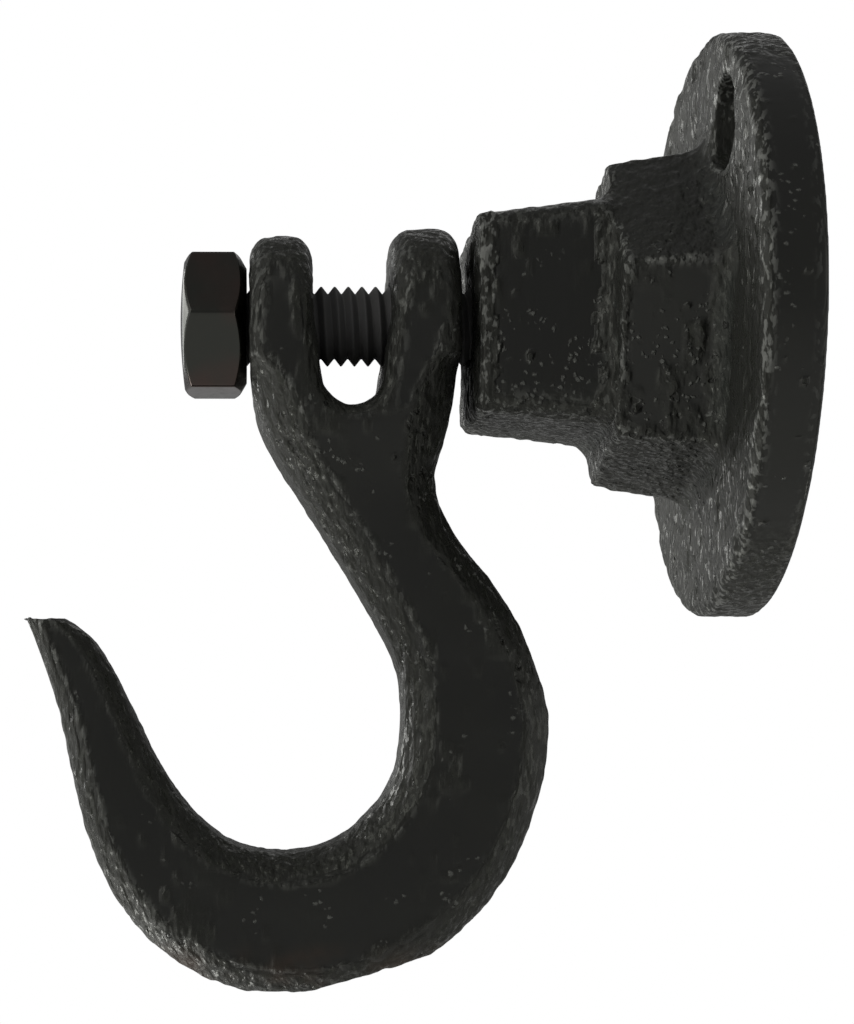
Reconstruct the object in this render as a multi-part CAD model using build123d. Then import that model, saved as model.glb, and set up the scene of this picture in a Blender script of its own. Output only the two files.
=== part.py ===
from build123d import *

import math
import os

# A cast-iron coat hook: a round wall flange with a hexagonal collar and a
# square nose, and a clevis hook that swings on a hex bolt screwed into the nose.
# Millimetres. +X points into the wall, whose face is x = 0. +Z is up.
# The bolt's axis is the X axis. The hook opens away from the wall, towards -X.

# Wall flange, one casting
FLANGE_RADIUS = 21.15
FLANGE_THICKNESS = 4.4
FLANGE_DROP = 0.3  # the plate sits this far below the bolt's axis
FLANGE_BACK_ROUND = 0.5
FLANGE_RIM_ROUND = 0.9
COLLAR_LENGTH = 7.3
COLLAR_ROOT_RADIUS = 13.25  # centre to corner, where the collar meets the flange
COLLAR_DRAFT = 8.5  # degrees a side
COLLAR_DROP = 0.15
COLLAR_TURN = -12.0  # degrees, how far the collar's corners are turned
COLLAR_CORNER_ROUND = 1.2
COLLAR_ROOT_FILLET = 1.5
NOSE_LENGTH = 9.55
NOSE_SIDE = 14.3  # across the flats at the free end
NOSE_DRAFT = 6.4
NOSE_CORNER_ROUND = 2.6  # at the root; the draft leaves less at the free end
NOSE_ROOT_FILLET = 0.9
NOSE_END_ROUND = 0.5

# The one hole for a wall screw
SCREW_HOLE_DIAMETER = 6.2
SCREW_HOLE_REACH = 15.5  # from the bolt's axis
SCREW_HOLE_ANGLE = 126.0  # degrees from +Y towards +Z

# Hex bolt, M6 x 25
BOLT_DIAMETER = 6.0
BOLT_LENGTH = 25.0  # under the head
BOLT_END_CHAMFER = 0.6
HEAD_FLATS = 9.8
HEAD_HEIGHT = 4.85
HEAD_CROWN = 0.3  # how far the outer end domes
HEAD_CHAMFER_ANGLE = 30.0  # degrees from the face
HEAD_FACE_SHARE = 0.95  # flat face over the width across the flats
SEAT_DIAMETER = 8.35  # of the flat that bears on the clevis
SEAT_CHAMFER_ANGLE = 30
TAP_RUNOUT = 1.0  # the tapped hole goes this much deeper than the bolt
DRILL_POINT_ANGLE = 118.0

# Clevis hook, one casting
NOSE_PLAY = 0.8  # between the clevis and the nose
HEAD_PLAY = 0.15  # between the clevis and the bolt's head
BORE_CLEARANCE = 0.2  # round the bolt, on the radius
FORK_WIDTH = 15.3  # over both ears, along the bolt
EYE_RADIUS = 7.25  # of the ear next to the nose
EYE_TAPER = 0.75  # how much less the other ear's radius is
EAR_STRAIGHT = 3.0  # how far the ears run straight below the bolt's axis
FORK_ROUND = 1.6
SLOT_WIDTH = 5.5  # at the bolt's axis and above
SLOT_FLOOR_WIDTH = 4.15  # across the slot's round end
SLOT_OFFSET = -0.2  # along the bolt, from the middle of the fork
SLOT_CENTRE_DROP = 4.3  # from the bolt's axis to the centre of the round end
SLOT_EDGE_ROUND = 1.8
EDGE_BREAK = 0.05  # cuts that round an edge end this far outside it

# The bowl of the hook, measured from the fork's centre line and the bolt's axis
THROAT_OFFSET = -5.24  # along the bolt
THROAT_DROP = 29.85
THROAT_RADIUS = 8.7
# Limb width and thickness at each angle round the bowl, from the wall side
# down and round to the open side
BOWL_RIBS = (
    (0, 10.75, 9.6),
    (-30, 10.7, 9.6),
    (-60, 10.8, 9.6),
    (-90, 10.55, 9.4),
    (-120, 9.35, 8.8),
    (-150, 7.45, 7.8),
)
# Neck ribs: open-side edge and wall-side edge, as (along the bolt from the
# fork's centre line, height from the bolt's axis), then the thickness
NECK_RIBS = (
    ((-7.0, -7.2), (7.05, -7.0), 13.2),
    ((-5.02, -11.0), (6.15, -10.2), 11.8),
    ((-2.45, -15.1), (6.05, -12.7), 10.8),
    ((0.0, -19.1), (7.8, -16.1), 10.2),
    ((2.0, -22.6), (11.05, -20.3), 9.8),
    ((3.35, -26.0), (13.5, -25.6), 9.6),
)
# Tip ribs, likewise: throat-side edge and outer edge
TIP_RIBS = (
    ((-15.3, -29.8), (-21.05, -30.3), 6.8),
    ((-17.2, -25.9), (-21.75, -27.6), 5.8),
    ((-19.05, -23.0), (-22.9, -24.3), 4.9),
    ((-20.95, -21.5), (-24.15, -21.5), 4.2),
)
EDGE_SHARE = 0.24  # width of the limb's corner facets over its thickness
FACET_CROWN = 0.1  # how far a corner facet bulges, over its width
# Ground flats where the casting was fed: angle of the flat's outward normal
# round the throat's centre, and the distance from that centre
GATE_FLATS = ((-90, 18.85), (-73.6, 18.58))

BOLT = Axis.X
nose_root_side = NOSE_SIDE + 2 * NOSE_LENGTH * math.tan(math.radians(NOSE_DRAFT))
collar_front = -(FLANGE_THICKNESS + COLLAR_LENGTH)
nose_end = collar_front - NOSE_LENGTH
fork_wall_side = nose_end - NOSE_PLAY
fork_centre = fork_wall_side - FORK_WIDTH / 2
bearing_face = fork_wall_side - FORK_WIDTH - HEAD_PLAY
bolt_tip = bearing_face + BOLT_LENGTH
bore_radius = BOLT_DIAMETER / 2 + BORE_CLEARANCE
throat_centre = (fork_centre + THROAT_OFFSET, -THROAT_DROP)


def along_bolt(sketch, x, length, taper=0.0):
    """Extrude a sketch drawn on the YZ plane from x, towards +X or -X."""
    placed = Plane((x, 0, 0), x_dir=(0, 1, 0), z_dir=(1, 0, 0)) * sketch
    way = (1, 0, 0) if length > 0 else (-1, 0, 0)
    return extrude(placed, amount=abs(length), dir=way, taper=taper)


def flange_disc():
    """The round plate, with its rim rounded on the room side."""
    disc = along_bolt(Pos(0, -FLANGE_DROP) * Circle(FLANGE_RADIUS), 0, -FLANGE_THICKNESS)
    disc = fillet(disc.edges().group_by(Axis.X)[0], FLANGE_RIM_ROUND)
    return fillet(disc.edges().group_by(Axis.X)[-1], FLANGE_BACK_ROUND)


def collar():
    """The drafted hexagon that stands on the flange."""
    outline = RegularPolygon(COLLAR_ROOT_RADIUS, 6, rotation=COLLAR_TURN)
    outline = fillet(outline.vertices(), COLLAR_CORNER_ROUND)
    return along_bolt(Pos(0, -COLLAR_DROP) * outline, -FLANGE_THICKNESS, -COLLAR_LENGTH, COLLAR_DRAFT)


def nose():
    """The drafted square that the bolt screws into, rounded at its free end."""
    outline = RectangleRounded(nose_root_side, nose_root_side, NOSE_CORNER_ROUND)
    block = along_bolt(outline, collar_front, -NOSE_LENGTH, NOSE_DRAFT)
    return fillet(block.edges().group_by(Axis.X)[0], NOSE_END_ROUND)


def edges_at(solid, x, half_side):
    """The edges in the plane at x whose ends lie within a square round the bolt's axis."""
    return [
        e
        for e in solid.edges()
        if all(abs(v.X - x) < 1e-4 and max(abs(v.Y), abs(v.Z)) < half_side for v in e.vertices())
    ]


def tapped_hole():
    """The blind hole at the thread's outer diameter, with a drill point."""
    radius = BOLT_DIAMETER / 2
    bottom = bolt_tip + TAP_RUNOUT
    point = radius / math.tan(math.radians(DRILL_POINT_ANGLE / 2))
    start = nose_end - 1
    half = Polygon((start, 0), (start, radius), (bottom, radius), (bottom + point, 0), align=None)
    return revolve(Plane.XY * half, BOLT)


def nose_root():
    """The fillet round the nose's root. Where the nose comes close to the collar's edge, it ends there."""
    plate = along_bolt(Circle(2 * nose_root_side), collar_front, COLLAR_LENGTH)
    block = nose() + plate
    block = fillet(edges_at(block, collar_front, nose_root_side), NOSE_ROOT_FILLET)
    footprint = collar().faces().sort_by(Axis.X)[0]
    return block & extrude(footprint, amount=NOSE_ROOT_FILLET, dir=(-1, 0, 0))


def wall_flange():
    """The whole wall casting."""
    body = flange_disc() + collar()
    body = fillet(edges_at(body, -FLANGE_THICKNESS, COLLAR_ROOT_RADIUS), COLLAR_ROOT_FILLET)
    body += nose() + nose_root()
    turn = math.radians(SCREW_HOLE_ANGLE)
    spot = (SCREW_HOLE_REACH * math.cos(turn), SCREW_HOLE_REACH * math.sin(turn))
    screw = along_bolt(Pos(*spot) * Circle(SCREW_HOLE_DIAMETER / 2), 1, collar_front - 1)
    return body - screw - tapped_hole()


def pivot_bolt():
    """The hex bolt: a domed head chamfered at both ends, and a plain shank."""
    outer = bearing_face - HEAD_HEIGHT
    rim = outer + HEAD_CROWN
    face = HEAD_FLATS / 2 * HEAD_FACE_SHARE
    seat = SEAT_DIAMETER / 2
    corner = HEAD_FLATS / math.sqrt(3) + EDGE_BREAK
    outer_slope = (corner - face) * math.tan(math.radians(HEAD_CHAMFER_ANGLE))
    seat_slope = (corner - seat) * math.tan(math.radians(SEAT_CHAMFER_ANGLE))
    ball = (face**2 + HEAD_CROWN**2) / (2 * HEAD_CROWN)
    half_turn = math.asin(face / ball) / 2
    middle = (outer + ball - ball * math.cos(half_turn), ball * math.sin(half_turn))
    crown = ThreePointArc((rim, face), middle, (outer, 0))
    inner_end = [(outer, 0), (bearing_face, 0), (bearing_face, seat), (bearing_face - seat_slope, corner)]
    edge = Polyline(*inner_end, (rim + outer_slope, corner), (rim, face))
    turned = revolve(make_face([crown, edge]), BOLT)
    hexagon = RegularPolygon(HEAD_FLATS / 2, 6, major_radius=False)
    head = along_bolt(hexagon, outer, HEAD_HEIGHT) & turned
    shank = along_bolt(Circle(BOLT_DIAMETER / 2), bearing_face, BOLT_LENGTH)
    return head + chamfer(shank.edges().group_by(Axis.X)[-1], BOLT_END_CHAMFER)


def limb_section(first, second, thickness, edge):
    """A rectangle with crowned facets for corners, between two edge points of the hook's outline."""
    a, b = Vector(first[0], 0, first[1]), Vector(second[0], 0, second[1])
    across = b - a
    plane = Plane((a + b) / 2, x_dir=across, z_dir=across.cross(Vector(0, 1, 0)))
    x, y = across.length / 2, thickness / 2
    near = (1 / 2 - FACET_CROWN / math.sqrt(2)) * edge
    lines = []
    for i, j in ((1, 1), (-1, 1), (-1, -1), (1, -1)):
        ends = [(i * x, j * (y - edge)), (i * (x - edge), j * y)]
        ends = ends if i == j else ends[::-1]
        lines.append(ThreePointArc(ends[0], (i * (x - near), j * (y - near)), ends[1]))
    lines += [Line(lines[n] @ 1, lines[(n + 1) % 4] @ 0) for n in range(4)]
    return plane * make_face(lines)


def fork_outline():
    """The fork seen along the hook, wider across the ear next to the nose."""
    half, wide, narrow = FORK_WIDTH / 2, EYE_RADIUS, EYE_RADIUS - EYE_TAPER
    outline = Polygon((-half, -narrow), (half, -wide), (half, wide), (-half, narrow), align=None)
    return fillet(outline.vertices(), FORK_ROUND)


def limb():
    """The neck, the bowl and the tip, lofted through their ribs."""
    ribs = [Pos(fork_centre, 0, -EAR_STRAIGHT) * fork_outline()]
    for *ends, thickness in NECK_RIBS:
        placed = [(fork_centre + x, z) for x, z in ends]
        ribs.append(limb_section(*placed, thickness, EDGE_SHARE * thickness))
    for angle, width, thickness in BOWL_RIBS:
        way = math.radians(angle)
        reach = (THROAT_RADIUS, THROAT_RADIUS + width)
        placed = [(throat_centre[0] + r * math.cos(way), throat_centre[1] + r * math.sin(way)) for r in reach]
        ribs.append(limb_section(*placed, thickness, EDGE_SHARE * thickness))
    for *ends, thickness in TIP_RIBS:
        placed = [(fork_centre + x, z) for x, z in ends]
        ribs.append(limb_section(*placed, thickness, EDGE_SHARE * thickness))
    return loft(ribs)


def rounded_fork():
    """Both ears and what joins them, before the slot: half a barrel on a block."""
    section = Pos(fork_centre, 0, 0) * fork_outline()
    half = section & (Pos(fork_centre, EYE_RADIUS) * Rectangle(FORK_WIDTH, 2 * EYE_RADIUS))
    return revolve(half, BOLT, 180) + extrude(section, amount=EAR_STRAIGHT, dir=(0, 0, -1))


def slot_outline(width, open_side, wall_side):
    """The slot seen along the hook: straight walls that round into both faces of the fork.

    open_side and wall_side are the fork's half thicknesses at its two outer faces.
    """
    half = FORK_WIDTH / 2
    tall = 4 * EYE_RADIUS
    fork = Polygon((-half, -open_side), (half, -wall_side), (half, wall_side), (-half, open_side), align=None)
    beyond = Pos(SLOT_OFFSET, 0) * Rectangle(width + 4 * SLOT_EDGE_ROUND, tall) - fork
    outline = beyond + Pos(SLOT_OFFSET, 0) * Rectangle(width, tall)
    edges = [v for v in outline.vertices() if abs(v.Y) < tall / 3 and abs(v.X - SLOT_OFFSET) < width]
    return fillet(edges, SLOT_EDGE_ROUND)


def slot():
    """The gap between the ears: turned round the bolt above, tapered below, with a round floor."""
    wall_side = EYE_RADIUS + EDGE_BREAK
    floor_side = NECK_RIBS[0][2] / 2 + EDGE_BREAK
    upper = slot_outline(SLOT_WIDTH, wall_side - EYE_TAPER, wall_side)
    lower = slot_outline(SLOT_FLOOR_WIDTH, floor_side, floor_side)
    big = 4 * EYE_RADIUS
    at_axis, at_floor = Pos(fork_centre, 0, 0), Pos(fork_centre, 0, -SLOT_CENTRE_DROP)
    above = revolve(at_axis * (upper & (Pos(0, big / 2) * Rectangle(big, big))), BOLT, 180)
    floor_axis = Axis((fork_centre + SLOT_OFFSET, 0, -SLOT_CENTRE_DROP), (0, 1, 0))
    below = revolve(at_floor * (lower & (Pos(SLOT_OFFSET + big / 2, 0) * Rectangle(big, big))), floor_axis, 180)
    return above + loft([at_axis * upper, at_floor * lower]) + below


def gate_cut(angle, distance):
    """A block whose face is one of the ground flats."""
    size = 2 * THROAT_RADIUS
    block = Pos(distance + size / 2, 0, 0) * Box(size, size, 3 * size)
    return Pos(throat_centre[0], 0, throat_centre[1]) * Rot(0, -angle, 0) * block


def clevis_hook():
    """The whole hook casting."""
    body = rounded_fork() + limb()
    for flat in GATE_FLATS:
        body -= gate_cut(*flat)
    bore = along_bolt(Circle(bore_radius), fork_wall_side + 1, -(FORK_WIDTH + 2))
    return body - slot() - bore


os.makedirs("parts", exist_ok=True)
for name, maker in (("wall_flange", wall_flange), ("pivot_bolt", pivot_bolt), ("clevis_hook", clevis_hook)):
    export_step(maker(), f"parts/{name}.step")
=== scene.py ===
# %% [markdown]
# ## A cast coat hook on a bolt
# The object is a cast wall flange with a stepped boss, a hex bolt screwed into that boss, and a
# cast hook whose fork swings on the bolt. The solids come from the CAD model, packed as a fixed
# frame. Everything below only dresses that frame: places are in the frame's axes, with the wall
# at x = 0, the bolt along x and z pointing up. Blender counts in metres. The castings and the bolt
# are worked out in millimetres, which keeps their numbers readable, and turned into metres last.
# The box of each bare part is printed here, and each dressed casting is later kept inside its part's
# box.

# %% Load the packed model
import itertools
import math

import bpy
import numpy as np
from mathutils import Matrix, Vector


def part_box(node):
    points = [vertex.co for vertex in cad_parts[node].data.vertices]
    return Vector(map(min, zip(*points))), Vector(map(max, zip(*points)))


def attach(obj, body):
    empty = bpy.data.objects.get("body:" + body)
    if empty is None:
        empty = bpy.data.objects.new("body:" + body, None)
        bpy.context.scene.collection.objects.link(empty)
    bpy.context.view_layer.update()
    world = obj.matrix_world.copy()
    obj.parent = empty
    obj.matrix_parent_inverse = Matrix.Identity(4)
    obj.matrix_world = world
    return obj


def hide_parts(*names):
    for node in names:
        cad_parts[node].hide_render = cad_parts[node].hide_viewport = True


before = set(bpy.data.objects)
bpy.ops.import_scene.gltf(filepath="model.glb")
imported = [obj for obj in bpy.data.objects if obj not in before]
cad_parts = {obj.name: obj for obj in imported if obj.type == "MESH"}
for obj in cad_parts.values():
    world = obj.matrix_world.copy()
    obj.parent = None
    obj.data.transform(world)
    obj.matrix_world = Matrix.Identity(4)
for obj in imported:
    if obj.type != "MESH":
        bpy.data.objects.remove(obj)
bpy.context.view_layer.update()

MM = 0.001
scene = bpy.context.scene


def in_mm(point):
    """A point in metres as millimetres with two decimals, for printing."""
    return [round(float(value) / MM, 2) for value in point]


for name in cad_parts:
    low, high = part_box(name)
    print(name, "from", in_mm(low), "to", in_mm(high))

# %% [markdown]
# ## The camera
# The camera stands below the bolt and to the left of the wall, about 15 cm away, and looks almost
# level. It could be aimed straight at the hook, but then the hook's upright edges would lean
# together. So it is turned by only half a degree and raised by one, and the lens shift slides the
# picture over until the hook is in it, as the rising front of a view camera does.

# %% Set the camera
camera = bpy.data.objects.new("camera", bpy.data.cameras.new("camera"))
scene.collection.objects.link(camera)
scene.camera = camera
camera.data.sensor_width = 36
camera.data.lens = 88.0
camera.data.sensor_fit = "HORIZONTAL"
camera.data.shift_x, camera.data.shift_y = 0.17074, 0.20426
camera.data.clip_start, camera.data.clip_end = 0.01, 10
camera.location = (-36.403 * MM, -153.495 * MM, -29.000 * MM)
camera.rotation_euler = (math.radians(90.92), 0, math.radians(-0.54))
print("camera", round(-camera.location.y / MM), "mm from the bolt's axis")

# %% [markdown]
# ## Softboxes
# Black iron has almost no colour of its own, so its shape shows only by what it mirrors at a
# slant. Bare bulbs would give sharp sparks. Large soft lamps to the left, above and in front give
# long soft bands. Weaker ones to the right and behind keep the shadows open. Two smaller, stronger
# ones, low on the left and behind, draw a bright line along the rough corners that face them. The
# faces that look at the camera mirror none of them and stay dark.

# %% Hang the softboxes
AIM = Vector((-0.025, 0, -0.015))  # between the fork and the bowl of the hook
SOFTBOXES = {  # place and size in metres, then the brightness of the face, where 1 is white
    "softbox_left": ((-0.75, -0.08, 0.14), 0.8, 0.47),
    "softbox_low": ((-0.35, 0.08, -0.35), 0.24, 5.4),
    "softbox_behind": ((-0.65, 0.55, 0.15), 0.45, 3.3),
    "softbox_back_top": ((0.15, 0.60, 0.50), 0.5, 0.35),
    "softbox_right": ((0.80, 0.00, 0.10), 0.8, 0.3),
    "softbox_above": ((-0.45, -0.45, 0.60), 0.5, 0.95),
    "softbox_front": ((-0.70, -0.50, 0.20), 0.5, 0.7),
    "softbox_fill": ((0.72, -0.40, -0.04), 0.6, 0.45),
}


def softbox(name, place, size, strength):
    """A square lamp aimed at the hook. Its power is pi times its brightness times its area."""
    data = bpy.data.lights.new(name, "AREA")
    data.shape, data.size = "SQUARE", size
    data.energy = strength * math.pi * size * size
    lamp = bpy.data.objects.new(name, data)
    scene.collection.objects.link(lamp)
    lamp.location = place
    lamp.rotation_euler = (AIM - Vector(place)).to_track_quat("-Z", "Y").to_euler()
    lamp.visible_camera = False
    return lamp


lamps = [softbox(name, *settings) for name, settings in SOFTBOXES.items()]
print("lamps", [lamp.name for lamp in lamps])

# %% [markdown]
# ## A short way to write materials
# A material is a tree of nodes. Built by hand in the editor it is quick to change and hard to
# repeat. Built by a script it is the same each time, but each node takes a line to add, one to set
# and one to link. This small class holds the steps that come again and again, so that a finish
# below reads as what it does: a ramp of a noise, a tint by a mask, a product, a sum.


# %% Build node trees
class Tree:
    """A node tree, emptied, with short ways to add to it. Masks and colours are output sockets."""

    def __init__(self, tree):
        tree.nodes.clear()
        self.nodes, self.link = tree.nodes, tree.links.new

    def add(self, kind, **settings):
        """A new node with its settings."""
        node = self.nodes.new(kind)
        for key, value in settings.items():
            setattr(node, key, value)
        return node

    def ramp(self, source, low, high, from_low=0.0, from_high=1.0):
        """`source` from one value to another becomes `low` to `high`, eased at both ends."""
        node = self.add("ShaderNodeMapRange", interpolation_type="SMOOTHSTEP")
        self.link(source, node.inputs["Value"])
        settings = {"From Min": from_low, "From Max": from_high, "To Min": low, "To Max": high}
        for key, value in settings.items():
            node.inputs[key].default_value = value
        return node.outputs["Result"]

    def tint(self, mask, first, second):
        """The first colour where the mask is 0 and the second where it is 1."""
        node = self.add("ShaderNodeMix", data_type="RGBA")
        self.link(mask, node.inputs["Factor"])
        for key, value in ((6, first), (7, second)):
            if isinstance(value, tuple):
                node.inputs[key].default_value = (*value, 1)
            else:
                self.link(value, node.inputs[key])
        return node.outputs[2]

    def math(self, operation, *values):
        """One sum or product of two or three sockets or numbers."""
        node = self.add("ShaderNodeMath", operation=operation)
        for key, value in enumerate(values):
            if isinstance(value, (int, float)):
                node.inputs[key].default_value = value
            else:
                self.link(value, node.inputs[key])
        return node.outputs["Value"]

    def times(self, first, second):
        """The product of two sockets, or of a socket and a number."""
        return self.math("MULTIPLY", first, second)


print("tree steps", [step for step in vars(Tree) if not step.startswith("_")])

# %% [markdown]
# ## A white room
# The hook is to be seen against white, but a room that glows white from all sides would wash the
# black iron out. So the room is white only where the camera looks straight at it, and dim where
# it lights the object.

# %% Make the white world
ROOM_LIGHT, ROOM_SEEN = 0.19, 1.0

world = bpy.data.worlds.new("white room")
scene.world = world
world.use_nodes = True
tree = Tree(world.node_tree)
seen = tree.add("ShaderNodeLightPath")
room = tree.add("ShaderNodeBackground")
room.inputs["Color"].default_value = (1, 1, 1, 1)
tree.link(tree.ramp(seen.outputs["Is Camera Ray"], ROOM_LIGHT, ROOM_SEEN), room.inputs["Strength"])
tree.link(room.outputs["Background"], tree.add("ShaderNodeOutputWorld").inputs["Surface"])
print("world", ROOM_LIGHT, "as light and", ROOM_SEEN, "as backdrop")

# %% [markdown]
# ## The floor
# The hook hangs over a pale floor. One plain disc does. Near the object about half of what the
# camera sees of it is an ordinary pale surface that takes a shadow. Further off all of it melts into
# the white of the room, so that no horizon shows behind the hook. The disc's faces come from a grid
# of points, as the bolt's will.


# %% A mesh from a grid of points
def grid_object(name, points, wrap=False, close=False):
    """A mesh object of a grid of points (rows, columns, 3), where each cell is a four-sided face.

    `wrap` joins the last column to the first, and `close` fills the first and the last row.
    """
    rows, columns = points.shape[:2]
    number = np.arange(rows * columns).reshape(rows, columns)
    if wrap:
        number = np.concatenate([number, number[:, :1]], axis=1)
    corners = number[:-1, :-1], number[1:, :-1], number[1:, 1:], number[:-1, 1:]
    faces = np.stack(corners, axis=-1).reshape(-1, 4).tolist()
    if close:
        faces += [number[0, :-1].tolist(), number[-1, :-1][::-1].tolist()]
    mesh = bpy.data.meshes.new(name)
    mesh.from_pydata(points.reshape(-1, 3).tolist(), [], faces)
    obj = bpy.data.objects.new(name, mesh)
    scene.collection.objects.link(obj)
    return obj


# %% Lay the floor
def disc(name, radius, height, rings=24, spokes=96):
    """A flat disc: points at every mix of a ring's radius and a spoke's angle, joined as a grid.

    The radii grow as the squares of even steps, so that the rings lie closer in the middle.
    """
    radii = radius * np.linspace(0.001, 1, rings) ** 2
    angles = np.linspace(0, 2 * np.pi, spokes, endpoint=False)
    reach, way = np.meshgrid(radii, angles, indexing="ij")
    points = np.stack([reach * np.cos(way), reach * np.sin(way), np.full_like(reach, height)], axis=-1)
    return grid_object(name, points, wrap=True)


floor = disc("floor", radius=4.0, height=-0.46)
print("floor of", len(floor.data.polygons), "faces")

# %% Paint the floor
FLOOR_COLOUR = (0.72, 0.72, 0.71, 1)
GLOW_FROM, GLOW_TO = 0.40, 1.10  # metres from the middle, between which the floor melts away
GLOW_NEAR, GLOW_FAR = 0.55, 1.0  # the share of white that the camera sees there
GLOW_MIRRORED = 0.23  # how much of that the object mirrors

pale = bpy.data.materials.new("pale floor")
pale.use_nodes = True
tree = Tree(pale.node_tree)
matt = tree.add("ShaderNodeBsdfDiffuse")
matt.inputs["Color"].default_value = FLOOR_COLOUR
white = tree.add("ShaderNodeEmission")
seen = tree.add("ShaderNodeLightPath")
reach = tree.add("ShaderNodeVectorMath", operation="LENGTH")
tree.link(tree.add("ShaderNodeTexCoord").outputs["Object"], reach.inputs[0])
glow = tree.ramp(reach.outputs["Value"], GLOW_NEAR, GLOW_FAR, GLOW_FROM, GLOW_TO)
mirrored = tree.times(seen.outputs["Is Glossy Ray"], GLOW_MIRRORED)
either = tree.math("MAXIMUM", seen.outputs["Is Camera Ray"], mirrored)
both = tree.add("ShaderNodeMixShader")
tree.link(tree.times(either, glow), both.inputs["Fac"])
tree.link(matt.outputs["BSDF"], both.inputs[1])
tree.link(white.outputs["Emission"], both.inputs[2])
tree.link(both.outputs["Shader"], tree.add("ShaderNodeOutputMaterial").inputs["Surface"])
floor.data.materials.append(pale)
print("floor is white from", GLOW_TO, "m on")

# %% [markdown]
# ## What sand leaves on iron
# A casting takes the skin of its mould. Loose sand makes it swell and dip over a few millimetres,
# grains leave a fine roughness, washed-out spots leave small beads, and gas leaves pits. A bump
# map alone would keep the outline ruler-straight, so the larger of these are cut into the mesh
# itself. Each is a plain formula on points in space, so it wraps round edges without a seam.

# %% Lumps: smooth random heights on a lattice
CELLS = 61  # lattice cells before a pattern repeats
LUMP_SHIFT, SPOT_SHIFT = 0.37, 0.61  # cells from one seed's pattern to the next, so none line up
TALL = (1, 1, 0.6)  # a pattern on points * TALL is longer upwards than sideways


def lumps(points, size, seed):
    """Random heights from -1 to 1 on a cubic lattice whose cells are `size` across.

    A point's height is the eased blend of the heights at the eight corners of its cell.
    """
    heights = np.random.default_rng(seed).uniform(-1, 1, (CELLS, CELLS, CELLS))
    place = points / size + LUMP_SHIFT * seed
    low = np.floor(place).astype(int)
    part = place - low
    ease = part * part * part * (part * (6 * part - 15) + 10)
    total = np.zeros(len(points))
    for corner in itertools.product((0, 1), repeat=3):
        weight = np.prod(np.where(corner, ease, 1 - ease), axis=1)
        total += weight * heights[tuple(((low + corner) % CELLS).T)]
    return total


# %% Beads and pits: one round spot to a cell
def spots(points, spacing, share, smallest, largest, seed):
    """The height of a round spot, from 0 to 1, on a lattice whose cells are `spacing` across.

    A `share` of the cells holds one spot each, at a random place and of a random radius. Its
    height is 1 less the square of the distance over the radius, and never under 0.
    """
    draw = np.random.default_rng(seed)
    middle = draw.uniform(0.2, 0.8, (CELLS, CELLS, CELLS, 3))
    radius = draw.uniform(smallest, largest, (CELLS, CELLS, CELLS))
    radius *= draw.uniform(0, 1, (CELLS, CELLS, CELLS)) < share
    place = points / spacing + SPOT_SHIFT * seed
    low = np.floor(place).astype(int)
    height = np.zeros(len(points))
    for step in itertools.product((-1, 0, 1), repeat=3):
        cell = low + step
        key = tuple((cell % CELLS).T)
        away = np.linalg.norm((cell + middle[key] - place) * spacing, axis=1)
        height = np.maximum(height, 1 - (away / np.maximum(radius[key], 1e-9)) ** 2)
    return height


trial = np.random.default_rng(1).uniform(-20, 20, (20000, 3))
print("lumps spread", lumps(trial, 2.0, 3).std().round(2))
print("share under a spot", (spots(trial, 2.2, 0.5, 0.3, 0.7, 4) > 0).mean().round(3))

# %% [markdown]
# ## A casting's skin
# The CAD mesh is made of long triangles of all sizes, which can't bend into lumps. It is copied,
# welded, and remeshed on a fine cubic lattice, so that faces of one size cover it all. Then every
# point sinks along its own normal by the sum of the formulas. Points only sink, never rise, so the
# casting can't outgrow its solid or rub on its neighbour. Two values are kept with each point for the
# paint. The first is how far the point stands out from its surroundings, counted more on corners that
# face the lamps on the left. From it, corners get specks of unpainted iron, partly as wear and partly
# as a painted highlight, and hollows get pale specks as a painted glint. The second is how raw the
# skin is there.


# %% Remesh a CAD node
def remeshed(node, lattice):
    """A CAD node in millimetres, welded and remeshed on a lattice of that many millimetres.

    Gives back its points, its unit normals, its edges and its faces as arrays.
    """
    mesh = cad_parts[node].data.copy()
    mesh.transform(np.diag([1 / MM, 1 / MM, 1 / MM, 1]).tolist())
    draft = bpy.data.objects.new("draft", mesh)
    scene.collection.objects.link(draft)
    weld = draft.modifiers.new("weld", "WELD")
    weld.merge_threshold = 0.001
    grid = draft.modifiers.new("grid", "REMESH")
    grid.mode, grid.voxel_size, grid.adaptivity = "VOXEL", lattice, 0
    done = bpy.data.meshes.new_from_object(draft.evaluated_get(bpy.context.evaluated_depsgraph_get()))
    bpy.data.objects.remove(draft)
    points, normals = np.zeros((2, len(done.vertices), 3))
    done.vertices.foreach_get("co", points.ravel())
    done.vertex_normals.foreach_get("vector", normals.ravel())
    edges = np.zeros((len(done.edges), 2), int)
    done.edges.foreach_get("vertices", edges.ravel())
    corners = np.zeros(len(done.loops), int)
    done.loops.foreach_get("vertex_index", corners)
    starts = np.zeros(len(done.polygons), int)
    done.polygons.foreach_get("loop_start", starts)
    faces = [face.tolist() for face in np.split(corners, starts[1:])]
    return points, normals, edges, faces


# %% Wear small steps away
def spread(values, edges, times):
    """Each point's value becomes the mean of its own and its neighbours', again and again."""
    count = 1.0 + np.bincount(edges.ravel(), minlength=len(values))
    for _ in range(times):
        total = values.copy()
        np.add.at(total, edges[:, 0], values[edges[:, 1]])
        np.add.at(total, edges[:, 1], values[edges[:, 0]])
        values = (total.T / count).T
    return values


def smooth(values, low, high):
    """From 0 below `low` to 1 above `high`, eased at both ends."""
    part = np.clip((values - low) / (high - low), 0, 1)
    return part * part * (3 - 2 * part)


# %% Sink the skin
CORNER = 0.4  # millimetres that a point on a sharp corner stands out from its surroundings
NORMAL_STEPS = 4  # how often the normals are spread before a face's direction is read from them


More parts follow.
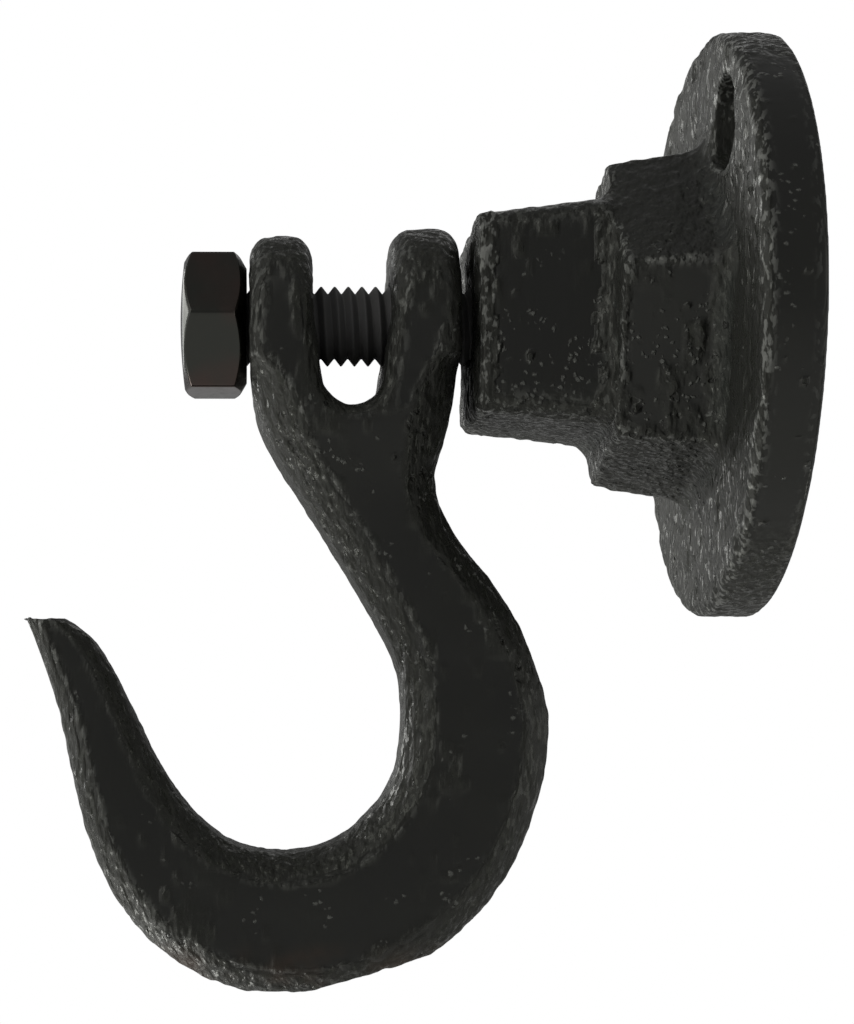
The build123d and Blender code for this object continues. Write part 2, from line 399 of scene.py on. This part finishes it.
def casting(node, body, lattice, wear, reach, skin):
    """Replaces a CAD node by its remeshed copy, with every point sunk along its normal.

    Points that stand out sink by `wear` times as far as they stand, which rounds the corners, the
    wider the more steps of the mesh `reach` is. Besides, each sinks as far as skin(points, normals,
    standing) says. That also gives how raw the skin is, from 0 to 1, and above 1 how strongly a
    highlight is painted there as unpainted iron. All points stay inside the node's own box.
    """
    points, normals, edges, faces = remeshed(node, lattice)
    apart = ((points - spread(points, edges, reach)) * normals).sum(axis=1)
    standing = np.clip(apart / CORNER, -1, 1)
    sink, raw = skin(points, spread(normals, edges, NORMAL_STEPS), standing)
    depth = wear * np.maximum(apart, 0) + np.maximum(sink, 0)
    low, high = (np.array(corner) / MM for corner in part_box(node))
    sunk = np.clip(points - normals * depth[:, None], low, high)
    lamp_side = smooth(-normals[:, 0], -0.6, 0.4)  # corners that face the lamps on the left count fully and those that face the wall not at all: a painted highlight on the lit side
    # The edge value: corners, as wear and as a painted highlight toward the lamps, hollows for painted
    # glints, and above 1 the places where a highlight is painted as unpainted iron.
    edge_wear_and_glint = np.where(apart > 0, lamp_side, 1) * standing
    edge_wear_and_glint = np.where(raw > 1, np.maximum(edge_wear_and_glint, raw - 1), edge_wear_and_glint)
    mesh = bpy.data.meshes.new(node + "_cast")
    mesh.from_pydata((sunk * MM).tolist(), [], faces)
    mesh.shade_smooth()
    mesh.attributes.new("edge", "FLOAT", "POINT").data.foreach_set("value", edge_wear_and_glint)
    mesh.attributes.new("raw", "FLOAT", "POINT").data.foreach_set("value", np.clip(raw, 0, 1))
    obj = bpy.data.objects.new(node + "_cast", mesh)
    scene.collection.objects.link(obj)
    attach(obj, body)
    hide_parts(node)
    print(obj.name, len(points), "points, raw share", raw.mean().round(2))
    print("sunk", depth.mean().round(3), "mm on average, at most", depth.max().round(3))
    return obj


# %% Where the skin is raw
def raw_skin(points, normals, standing, seed):
    """How raw the sand skin is, from 0 to 1.

    The faces that look squarely sideways are smooth, as the mould leaves them. Corners, hollows
    and all that slants away are raw. Lumps make the border between the two ragged.
    """
    border = 0.12 * lumps(points, 4.2, seed) + 0.09 * lumps(points * TALL, 0.8, seed + 1)
    slant = 1 - smooth(np.abs(normals[:, 1]) + border, 0.80, 1.0)
    return np.maximum(slant, smooth(np.abs(standing) + 2 * border, 0.15, 0.6))


# %% [markdown]
# ## The hook
# The hook was cast in sand and hardly dressed afterwards. Its flat sides are smooth, but its
# corners, its throat and its back carry the raw skin: lumps from half a millimetre to three
# across. A displacement modifier could raise them, but the same formula here also tells the paint
# where the skin is raw.


# %% Cast the hook
def hook_skin(points, normals, standing):
    """Millimetres that the hook's skin sinks, and how raw it is.

    It sinks a little all over, more or less by slow lumps, and by small sharp ones where it is
    raw. It sinks less under a bead and more in a pit.
    """
    raw = raw_skin(points, normals, standing, 21)
    sharp = 0.03 * lumps(points, 1.2, 2) + 0.06 * lumps(points * TALL, 0.55, 3)
    sharp += 0.06 * np.abs(standing) * lumps(points, 0.8, 6)
    beads = spots(points * (1, 1, 0.7), 1.9, 0.16, 0.2, 0.36, 4)
    pits = 0.16 * spots(points, 4.0, 0.3, 0.25, 0.5, 5)
    slow = 0.035 * lumps(points, 3.1, 1)
    return 0.085 + slow + raw * sharp - 0.12 * beads + raw * pits, np.maximum(raw, beads)


hook = casting("clevis_hook", "hook", lattice=0.215, wear=0.3, reach=24, skin=hook_skin)

# %% [markdown]
# ## The wall flange
# The flange and its boss come from the same foundry. The boss is a collar with a square nose on it.
# The flange's face is the roughest of all: it has lumps a millimetre or two across and a nest of pits
# above the screw hole. Beads sit on the lower half of the boss's smooth sides. A ragged strip round
# the nose's end, patches where nose and collar meet, and the wall inside the hole are painted as
# unpainted iron: a painted highlight where the rough iron there catches the light. The flat back is
# hardly touched, because it lies on the wall.

# %% Name the places on the flange, in millimetres
# Each pair says where a mask begins and where it is full. Reaches are measured from the wall, so
# they are x with its sign turned. A pair below zero is a distance with its sign turned, too: the
# mask is full at that distance and nearer.
RIM_RADIUS, RIM_X = (19.6, 20.4), (-3.9, -3.3)  # the plate's round rim, off the bolt's axis and in x
STRIP_REACH = (19.7, 19.9)  # the strip at the nose's end
ROOT_REACH, ROOT_X = (11.6, 11.9), (-12.9, -12.6)  # both borders of the patches at its root
ROOT_NEAR = (-8.0, -7.0)  # their distance from the bolt's axis, up and down
HOLE_Y, HOLE_Z = -9.11, 12.54  # the screw hole's axis
HOLE_NEAR, HOLE_REACH = (-3.5, -3.25), (1.6, 2.2)  # the hole's wall, from that axis and in reach
LOW_HALF = (-3.0, 3.0)  # the crowd of beads, down from the bolt's axis
PIT_NEST, NEST_SPREAD = (-4.4, -8.0, 18.0), 2.0  # the middle of the nest of pits, and its spread
print("the screw hole is", round(math.hypot(HOLE_Y, HOLE_Z), 2), "mm off the bolt's axis")


# %% Where the flange is smooth
def smoother(raw, points, normals, standing):
    """The rawness with three places toned down: the plate's rim, the top faces and the back."""
    rim = smooth(np.hypot(points[:, 1], points[:, 2]), *RIM_RADIUS) * smooth(points[:, 0], *RIM_X)
    raw = raw * (1 - rim * smooth(np.abs(normals[:, 1]), 0.5, 0.75))
    raw = raw * (1 - 0.5 * smooth(normals[:, 2], 0.2, 0.5) * (1 - rim) * (1 - np.abs(standing)))
    return raw * (1 - 0.75 * smooth(normals[:, 0], 0.5, 0.9))


# %% Where its paint is gone
def glint_places(points, facing):
    """Masks for the strip at the nose's end, the patches at its root and the hole's wall.

    Lumps make the borders of the first two ragged. All three are painted as unpainted iron, a painted
    highlight where the rough iron catches the light.
    """
    x, ragged = points[:, 0], 0.35 * lumps(points, 0.9, 19)
    strip = smooth(-x + ragged, *STRIP_REACH) * (1 - facing)
    root = smooth(-x + ragged, *ROOT_REACH) * smooth(x + 2 * ragged, *ROOT_X)
    root = root * (1 - facing) * smooth(-np.abs(points[:, 2]), *ROOT_NEAR)
    hole = smooth(-np.hypot(points[:, 1] - HOLE_Y, points[:, 2] - HOLE_Z), *HOLE_NEAR)
    return strip, root, hole * smooth(-x, *HOLE_REACH) * (1 - facing)


# %% Cast the flange
def flange_skin(points, normals, standing):
    """Millimetres that the flange's skin sinks, and how raw it is.

    As on the hook, with larger lumps on the faces that look away from the wall, small ones in the
    ragged strip and patches of the nose, and next to nothing on the back. Above 1, the rawness paints
    a highlight as unpainted iron in that strip, in those patches and on the hole's wall.
    """
    raw = smoother(raw_skin(points, normals, standing, 31), points, normals, standing)
    facing = np.clip(-normals[:, 0], 0, 1) ** 2
    sharp = 0.05 * lumps(points, 1.3, 12) + 0.07 * lumps(points * TALL, 0.6, 13)
    sharp += 0.13 * np.abs(standing) * lumps(points, 1.0, 18)
    hammered = 0.20 * lumps(points * TALL, 1.5, 14) + 0.14 * lumps(points * TALL, 0.7, 15)
    low_half = smooth(-points[:, 2], *LOW_HALF)
    beads = (0.35 + 0.65 * low_half) * spots(points * (1, 1, 0.8), 1.4, 0.4, 0.2, 0.38, 16)
    off_nest = ((points - PIT_NEST) ** 2).sum(axis=1)
    nest = 1 + 3 * np.exp(-off_nest / (2 * NEST_SPREAD**2))
    pits = 0.12 * nest * spots(points, 1.9, 0.3, 0.2, 0.5, 17)
    slow = 0.035 * lumps(points, 3.3, 11)
    sink = 0.10 + slow + raw * sharp + facing * hammered - 0.13 * beads + raw * pits
    strip, root, hole = glint_places(points, facing)
    # The strip and the patches are sunk in ragged lumps, and below they are painted as a highlight.
    ragged_glint_places = np.maximum(strip, root)
    sink += 0.16 * ragged_glint_places * lumps(points, 0.6, 20)
    off_wall = np.clip(-points[:, 0] / 0.6, 0, 1)
    # painted highlight: the strip, the patches and the hole's wall are painted as unpainted iron
    glint_paint = 0.5 * strip + 0.3 * root + 0.6 * hole
    return sink * off_wall, np.maximum(np.maximum(raw, beads), ragged_glint_places) + glint_paint


flange = casting("wall_flange", "wall", lattice=0.25, wear=0.35, reach=26, skin=flange_skin)

# %% [markdown]
# ## The bolt
# The bolt is turned and rolled steel, so it is exact where the castings are rough. Its head is a
# hexagon cut by two cones, one at each end, and slightly domed. A boolean cut would do, but the
# same solid is the smallest of three radii at each place along the bolt: the hexagon's, the outer
# cone's and the inner cone's. A soft minimum of the three rounds the edges between them, as
# rolling and tumbling do. The shank's radius rises and falls once for each pitch along a helix.

# %% Measure the bolt
HEAD_HEIGHT, CROWN = 4.85, 0.3  # the head, and how far its outer face domes
FACE_SHARE = 0.475  # the outer face's radius over the width across the flats
SEAT_RADIUS = 4.175  # of the face that bears on the fork
SLOPE = math.tan(math.radians(30))  # of both cones, measured from the head's faces

bolt_low, bolt_high = (np.array(corner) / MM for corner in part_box("pivot_bolt"))
across_flats = bolt_high[2] - bolt_low[2]
face_radius = FACE_SHARE * across_flats
face_x = bolt_low[0] + CROWN
seat_x = bolt_low[0] + HEAD_HEIGHT
print("bolt", across_flats.round(2), "mm across flats")
print("from", bolt_low[0].round(2), "to", bolt_high[0].round(2))


# %% Shape what is turned
def hexagon(way, flats):
    """A hexagon's radius: half its width over the cosine of the angle from the nearest flat."""
    return flats / 2 / np.cos((way + np.pi / 6) % (np.pi / 3) - np.pi / 6)


def softest(*radii, blend=0.05):
    """The smallest of several radii, with a rounded crossing about `blend` wide.

    It is minus blend times the log of the sum of exp(-radius / blend).
    """
    return -blend * np.log(sum(np.exp(-r / blend) for r in np.broadcast_arrays(*radii)))


def turned(rows_x, radii, way):
    """Points at each row's place along the bolt, each at its radius and its angle from straight up."""
    along = np.broadcast_to(rows_x[:, None], radii.shape)
    return np.stack([along, -radii * np.sin(way), radii * np.cos(way)], axis=-1)


# %% Shape the head
def head_points(way):
    """Rows of the head: the dome from its middle outwards, the sides, and the seat inwards."""
    dome_r = np.linspace(0.02, 1, 14) * face_radius
    dome_x = face_x - CROWN * (1 - (dome_r / face_radius) ** 2)
    dome = turned(dome_x, np.repeat(dome_r[:, None], len(way), 1), way)
    side_x = np.linspace(face_x, seat_x, 90)[1:]
    outer = face_radius + (side_x - face_x) / SLOPE
    inner = SEAT_RADIUS + (seat_x - side_x) / SLOPE
    radii = softest(hexagon(way, across_flats)[None, :], outer[:, None], inner[:, None])
    sides = turned(side_x, radii, way)
    seat_r = np.linspace(1, 0.6, 6)[1:, None] * radii[-1][None, :]
    seat = turned(np.full(len(seat_r), seat_x), seat_r, way)
    return np.concatenate([dome, sides, seat])


# %% Shape the thread
def thread_points(way, crest, pitch, depth, phase):
    """Rows of the shank from inside the head to the tip.

    The thread's height is a rounded zigzag of the distance along the bolt less the pitch times
    the share of a turn, so the ridge climbs as a right-hand screw.
    """
    rows_x = np.arange(seat_x - 0.3, bolt_high[0] - 0.02, pitch / 14)
    turn = (rows_x[:, None] - phase) / pitch - way[None, :] / (2 * np.pi)
    zigzag = np.abs(2 * (turn - np.floor(turn + 0.5)))
    height = crest - depth * np.clip((zigzag - 0.07) / 0.86, 0, 1)
    end = crest - np.clip(rows_x - (bolt_high[0] - 0.75), 0, 1)
    return turned(rows_x, softest(height, end[:, None], blend=0.02), way)


# %% Make the bolt
def round_ways(count):
    """That many angles, evenly round a circle."""
    return np.linspace(0, 2 * np.pi, count, endpoint=False)


head = head_points(round_ways(144))
shank = thread_points(round_ways(72), crest=2.92, pitch=1.0, depth=0.55, phase=-32.06)
head_obj = grid_object("bolt_head", head * MM, wrap=True, close=True)
shank_obj = grid_object("bolt_shank", shank * MM, wrap=True, close=True)
for obj in (head_obj, shank_obj):
    obj.data.shade_smooth()
    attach(obj, "wall")
    print(obj.name, len(obj.data.polygons), "faces")
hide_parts("pivot_bolt")

# %% [markdown]
# ## Grain
# Under the painted lumps lies a finer texture, too small for the mesh: upright grain, specks,
# pinholes and tiny beads. The castings and the bolt all use it, each at its own strength, so it is
# built once, as a node group with named outputs. Noise alone looks like cloud. The holes and beads
# are the near parts of Voronoi cells, which are round. A noise bends them so that they aren't all
# alike, and a slower one keeps them only in some places.

# %% Build the grain group
TALLER = (1, 1, 0.42)  # the grain is longer upwards than sideways
BEND = 0.0006  # metres that the holes and beads are bent by


def grain_group():
    """A node group: Vector, Scale and Crowd in, and five masks from 0 to 1 out.

    Height is the fine grain, Patches a slow cloud, Specks a quick one, and Holes and Beads small
    spots, kept in more places with a larger Crowd.
    """
    group = bpy.data.node_groups.new("cast grain", "ShaderNodeTree")
    face = group.interface
    face.new_socket("Vector", in_out="INPUT", socket_type="NodeSocketVector")
    face.new_socket("Scale", in_out="INPUT", socket_type="NodeSocketFloat").default_value = 1.0
    face.new_socket("Crowd", in_out="INPUT", socket_type="NodeSocketFloat")
    for name in ("Height", "Patches", "Specks", "Holes", "Beads"):
        face.new_socket(name, in_out="OUTPUT", socket_type="NodeSocketFloat")
    tree = Tree(group)
    given, out = tree.add("NodeGroupInput"), tree.add("NodeGroupOutput")
    sized = tree.add("ShaderNodeVectorMath", operation="SCALE")
    tree.link(given.outputs["Vector"], sized.inputs[0])
    tree.link(given.outputs["Scale"], sized.inputs["Scale"])
    tall = tree.add("ShaderNodeMapping")
    tall.inputs["Scale"].default_value = TALLER
    tree.link(sized.outputs["Vector"], tall.inputs["Vector"])

    def noise(scale, detail, source=sized, output="Fac"):
        node = tree.add("ShaderNodeTexNoise")
        node.inputs["Scale"].default_value, node.inputs["Detail"].default_value = scale, detail
        tree.link(source.outputs["Vector"], node.inputs["Vector"])
        return node.outputs[output]

    fine = tree.add("ShaderNodeMix")
    fine.inputs["Factor"].default_value = 0.25
    tree.link(noise(1700, 1, tall), fine.inputs["A"])
    tree.link(noise(3200, 2, tall), fine.inputs["B"])
    tree.link(fine.outputs["Result"], out.inputs["Height"])
    tree.link(noise(160, 3), out.inputs["Patches"])
    tree.link(noise(2600, 2, tall), out.inputs["Specks"])
    bent = tree.add("ShaderNodeVectorMath", operation="MULTIPLY_ADD")
    bent.inputs[1].default_value = (BEND, BEND, BEND)
    tree.link(noise(1800, 2, output="Color"), bent.inputs[0])
    tree.link(sized.outputs["Vector"], bent.inputs[2])

    def dots(scale, radius, keep_scale, keep_from):
        cells = tree.add("ShaderNodeTexVoronoi")
        cells.inputs["Scale"].default_value = scale
        tree.link(bent.outputs["Vector"], cells.inputs["Vector"])
        near = tree.ramp(cells.outputs["Distance"], 1, 0, 0.4 * radius, radius)
        crowded = tree.math("ADD", noise(keep_scale, 1), given.outputs["Crowd"])
        return tree.times(near, tree.ramp(crowded, 0, 1, keep_from, keep_from + 0.05))

    tree.link(dots(1100, 0.34, 300, 0.57), out.inputs["Holes"])
    tree.link(dots(1750, 0.34, 420, 0.57), out.inputs["Beads"])
    return group


grain = grain_group()
print("group", grain.name, [socket.name for socket in grain.interface.items_tree])

# %% [markdown]
# ## Paint on the castings
# The castings have brushed black paint over rough iron. On the smooth sides it is even and nearly
# black. On the raw skin it is dull and grainy, a touch green in the light. Corners show specks of
# unpainted iron, partly as wear and partly as a painted highlight, because they are kept mostly on the
# corners that face the lamps on the left. The same pale iron is painted as a highlight in a strip
# round the nose's end, in patches at its root and on the wall inside the screw hole. Hollows get pale
# specks and beads get pale dots, both painted glints, and pits are darkened to nearly black, a painted
# shade. There is a breath of rust under the bowl of the hook. One plain colour with bump would look
# like plastic. So each of these is a mask, from the grain or from the mesh, and each tints the colour
# in turn.

# %% Name the paint's colours and its shine
SMOOTH_PAINT = (0.0165, 0.0165, 0.0167), (0.0178, 0.0180, 0.0172)
RAW_PAINT = (0.0147, 0.0150, 0.0130), (0.0245, 0.0255, 0.0210)
# pale specks in hollows, a painted glint
HOLLOW_GLINT_PAINT = (0.018, 0.023, 0.020), (0.078, 0.085, 0.076)
# unpainted iron: on corners partly wear and partly a painted highlight, elsewhere on the flange a
# painted highlight
UNPAINTED_IRON_AND_GLINT = (0.165, 0.168, 0.155)
# pale dots on the beads, a painted glint
BEAD_GLINT = (0.115, 0.118, 0.108)
# nearly black pits, a painted shade
PIT_SHADE = (0.003, 0.003, 0.003)
RUST = (0.055, 0.032, 0.022)
PAINT_SHINE = (0.99, 1.0, 0.89, 1)
SMOOTH_ROUGHNESS, RAW_ROUGHNESS = 0.34, (0.56, 0.24)  # the last beside a speck and on it
print("raw paint is", RAW_PAINT[1][1] / RAW_PAINT[0][1], "times as bright on a speck as beside it")


# %% Crowd the beads
PLATE_FACE = (-0.0054, -0.0046)  # metres along x, where the plate's face begins
HALF_BORDER = 0.004  # metres that the beads take, up and down, to become fewer
MOST_BEADS, FEWEST_BEADS = 0.15, -0.035


def crowding(tree, apart, beaded_below):
    """How crowded the beads are: more below a height, and as few as anywhere on the wall plate."""
    borders = beaded_below - HALF_BORDER, beaded_below + HALF_BORDER
    low = tree.ramp(apart.outputs["Z"], MOST_BEADS, 0.0, *borders)
    off_plate = tree.ramp(apart.outputs["X"], 1, 0, *PLATE_FACE)
    return tree.math("MULTIPLY_ADD", low, off_plate, FEWEST_BEADS)


# %% Mix the paint's colour
def paint_colour(tree, grained, specks, raw, edge, rusty):
    """The colour: smooth paint, then raw, pale hollow specks as a painted glint, unpainted iron as
    wear and painted highlight, bead dots as painted glints, pits darkened as painted shade, and rust
    over it.
    """
    patches = tree.ramp(grained.outputs["Patches"], 0, 1, 0.42, 0.62)
    paint = tree.tint(patches, *SMOOTH_PAINT)
    paint = tree.tint(raw, paint, tree.tint(specks, *RAW_PAINT))
    # Hollows get pale specks, a painted glint.
    hollow = tree.ramp(edge, 1, 0, -0.6, -0.15)
    paint = tree.tint(hollow, paint, tree.tint(specks, *HOLLOW_GLINT_PAINT))
    # Specks of unpainted iron on corners: partly wear, partly a painted highlight toward the lamps on
    # the left.
    corner = tree.ramp(edge, 0, 1, 0.06, 0.45)
    paint = tree.tint(tree.times(corner, specks), paint, UNPAINTED_IRON_AND_GLINT)
    # Beads get pale dots, a painted glint.
    paint = tree.tint(grained.outputs["Beads"], paint, BEAD_GLINT)
    # Pits are darkened, a painted shade.
    paint = tree.tint(tree.times(grained.outputs["Holes"], raw), paint, PIT_SHADE)
    return tree.tint(tree.times(tree.times(rusty, patches), 0.8), paint, RUST)


# %% Raise the grain
def paint_normal(tree, grained, raw, coarse):
    """The bumps: grain and pits mostly where the skin is raw, and beads everywhere.

    The heights are in tenths of a millimetre.
    """
    grains = tree.times(grained.outputs["Height"], tree.ramp(raw, 0.15, coarse))
    pits = tree.times(tree.times(grained.outputs["Holes"], raw), -1.2)
    beads = tree.times(grained.outputs["Beads"], 0.9)
    raised = tree.add("ShaderNodeBump")
    raised.inputs["Distance"].default_value = 0.1 * MM
    raised.inputs["Strength"].default_value = 1.0
    tree.link(tree.math("ADD", tree.math("ADD", grains, pits), beads), raised.inputs["Height"])
    return raised.outputs["Normal"]


# %% Paint the castings
def cast_black(name, coarse, rust_below, beaded_below):
    """Painted iron. `coarse` is how far the grain stands, in tenths of a millimetre.

    Below one height in metres it rusts, and below another it has more beads.
    """
    material = bpy.data.materials.new(name)
    material.use_nodes = True
    tree = Tree(material.node_tree)
    place = tree.add("ShaderNodeTexCoord").outputs["Object"]
    apart = tree.add("ShaderNodeSeparateXYZ")
    grained = tree.add("ShaderNodeGroup", node_tree=grain)
    tree.link(place, apart.inputs["Vector"])
    tree.link(place, grained.inputs["Vector"])
    tree.link(crowding(tree, apart, beaded_below), grained.inputs["Crowd"])
    raw = tree.add("ShaderNodeAttribute", attribute_name="raw").outputs["Fac"]
    edge = tree.add("ShaderNodeAttribute", attribute_name="edge").outputs["Fac"]
    specks = tree.ramp(grained.outputs["Specks"], 0, 1, 0.50, 0.59)
    rusty = tree.ramp(apart.outputs["Z"], 1, 0, rust_below - 0.002, rust_below)
    rough = tree.add("ShaderNodeMix")
    rough.inputs["A"].default_value = SMOOTH_ROUGHNESS
    tree.link(raw, rough.inputs["Factor"])
    tree.link(tree.ramp(specks, *RAW_ROUGHNESS), rough.inputs["B"])
    shell = tree.add("ShaderNodeBsdfPrincipled")
    shell.inputs["IOR"].default_value = 1.5
    shell.inputs["Specular Tint"].default_value = PAINT_SHINE
    tree.link(paint_colour(tree, grained, specks, raw, edge, rusty), shell.inputs["Base Color"])
    tree.link(rough.outputs["Result"], shell.inputs["Roughness"])
    tree.link(paint_normal(tree, grained, raw, coarse), shell.inputs["Normal"])
    tree.link(shell.outputs["BSDF"], tree.add("ShaderNodeOutputMaterial").inputs["Surface"])
    return material


hook_paint = cast_black("black cast iron, hook", 3.8, rust_below=-0.0445, beaded_below=-0.060)
# The flange ends above its height of rust, so it has none.
flange_paint = cast_black("black cast iron, flange", 3.8, rust_below=-0.030, beaded_below=0.0)
hook.data.materials.append(hook_paint)
flange.data.materials.append(flange_paint)
print("painted", [obj.data.materials[0].name for obj in (hook, flange)])

# %% [markdown]
# ## Black steel
# The bolt is blackened steel, smooth and a little oily on the head, with a brown tinge where the
# black is thin. The thread holds dry paint and dirt, so it is dull and not metallic. Both are one
# function with different numbers, because both are dark and faintly cloudy.


# %% Blacken the bolt
def bolt_black(name, metal, first, second, rough_low, rough_high):
    """Blackened steel: dark, with a faint cloudiness in its colour and its shine."""
    material = bpy.data.materials.new(name)
    material.use_nodes = True
    tree = Tree(material.node_tree)
    grained = tree.add("ShaderNodeGroup", node_tree=grain)
    grained.inputs["Scale"].default_value = 0.8
    tree.link(tree.add("ShaderNodeTexCoord").outputs["Object"], grained.inputs["Vector"])
    patches = tree.ramp(grained.outputs["Patches"], 0, 1, 0.4, 0.65)
    raised = tree.add("ShaderNodeBump")
    raised.inputs["Distance"].default_value = 0.03 * MM
    raised.inputs["Strength"].default_value = 0.4
    tree.link(grained.outputs["Height"], raised.inputs["Height"])
    shell = tree.add("ShaderNodeBsdfPrincipled")
    shell.inputs["Metallic"].default_value = metal
    tree.link(tree.tint(patches, first, second), shell.inputs["Base Color"])
    rough = tree.ramp(grained.outputs["Height"], rough_low, rough_high, 0.3, 1.0)
    tree.link(rough, shell.inputs["Roughness"])
    tree.link(raised.outputs["Normal"], shell.inputs["Normal"])
    tree.link(shell.outputs["BSDF"], tree.add("ShaderNodeOutputMaterial").inputs["Surface"])
    return material


OILY_BLACK = (0.070, 0.072, 0.064), (0.094, 0.072, 0.064)
DRY_BLACK = (0.078, 0.078, 0.077), (0.09, 0.088, 0.085)
head_obj.data.materials.append(bolt_black("blackened steel, head", 1.0, *OILY_BLACK, 0.16, 0.30))
shank_obj.data.materials.append(bolt_black("blackened steel, thread", 0.0, *DRY_BLACK, 0.8, 0.9))
print("blackened", [obj.data.materials[0].name for obj in (head_obj, shank_obj)])

# %% [markdown]
# ## Colour and the end
# The picture is shown as it is, with no film look.

# %% Finish
scene.view_settings.view_transform = "Standard"
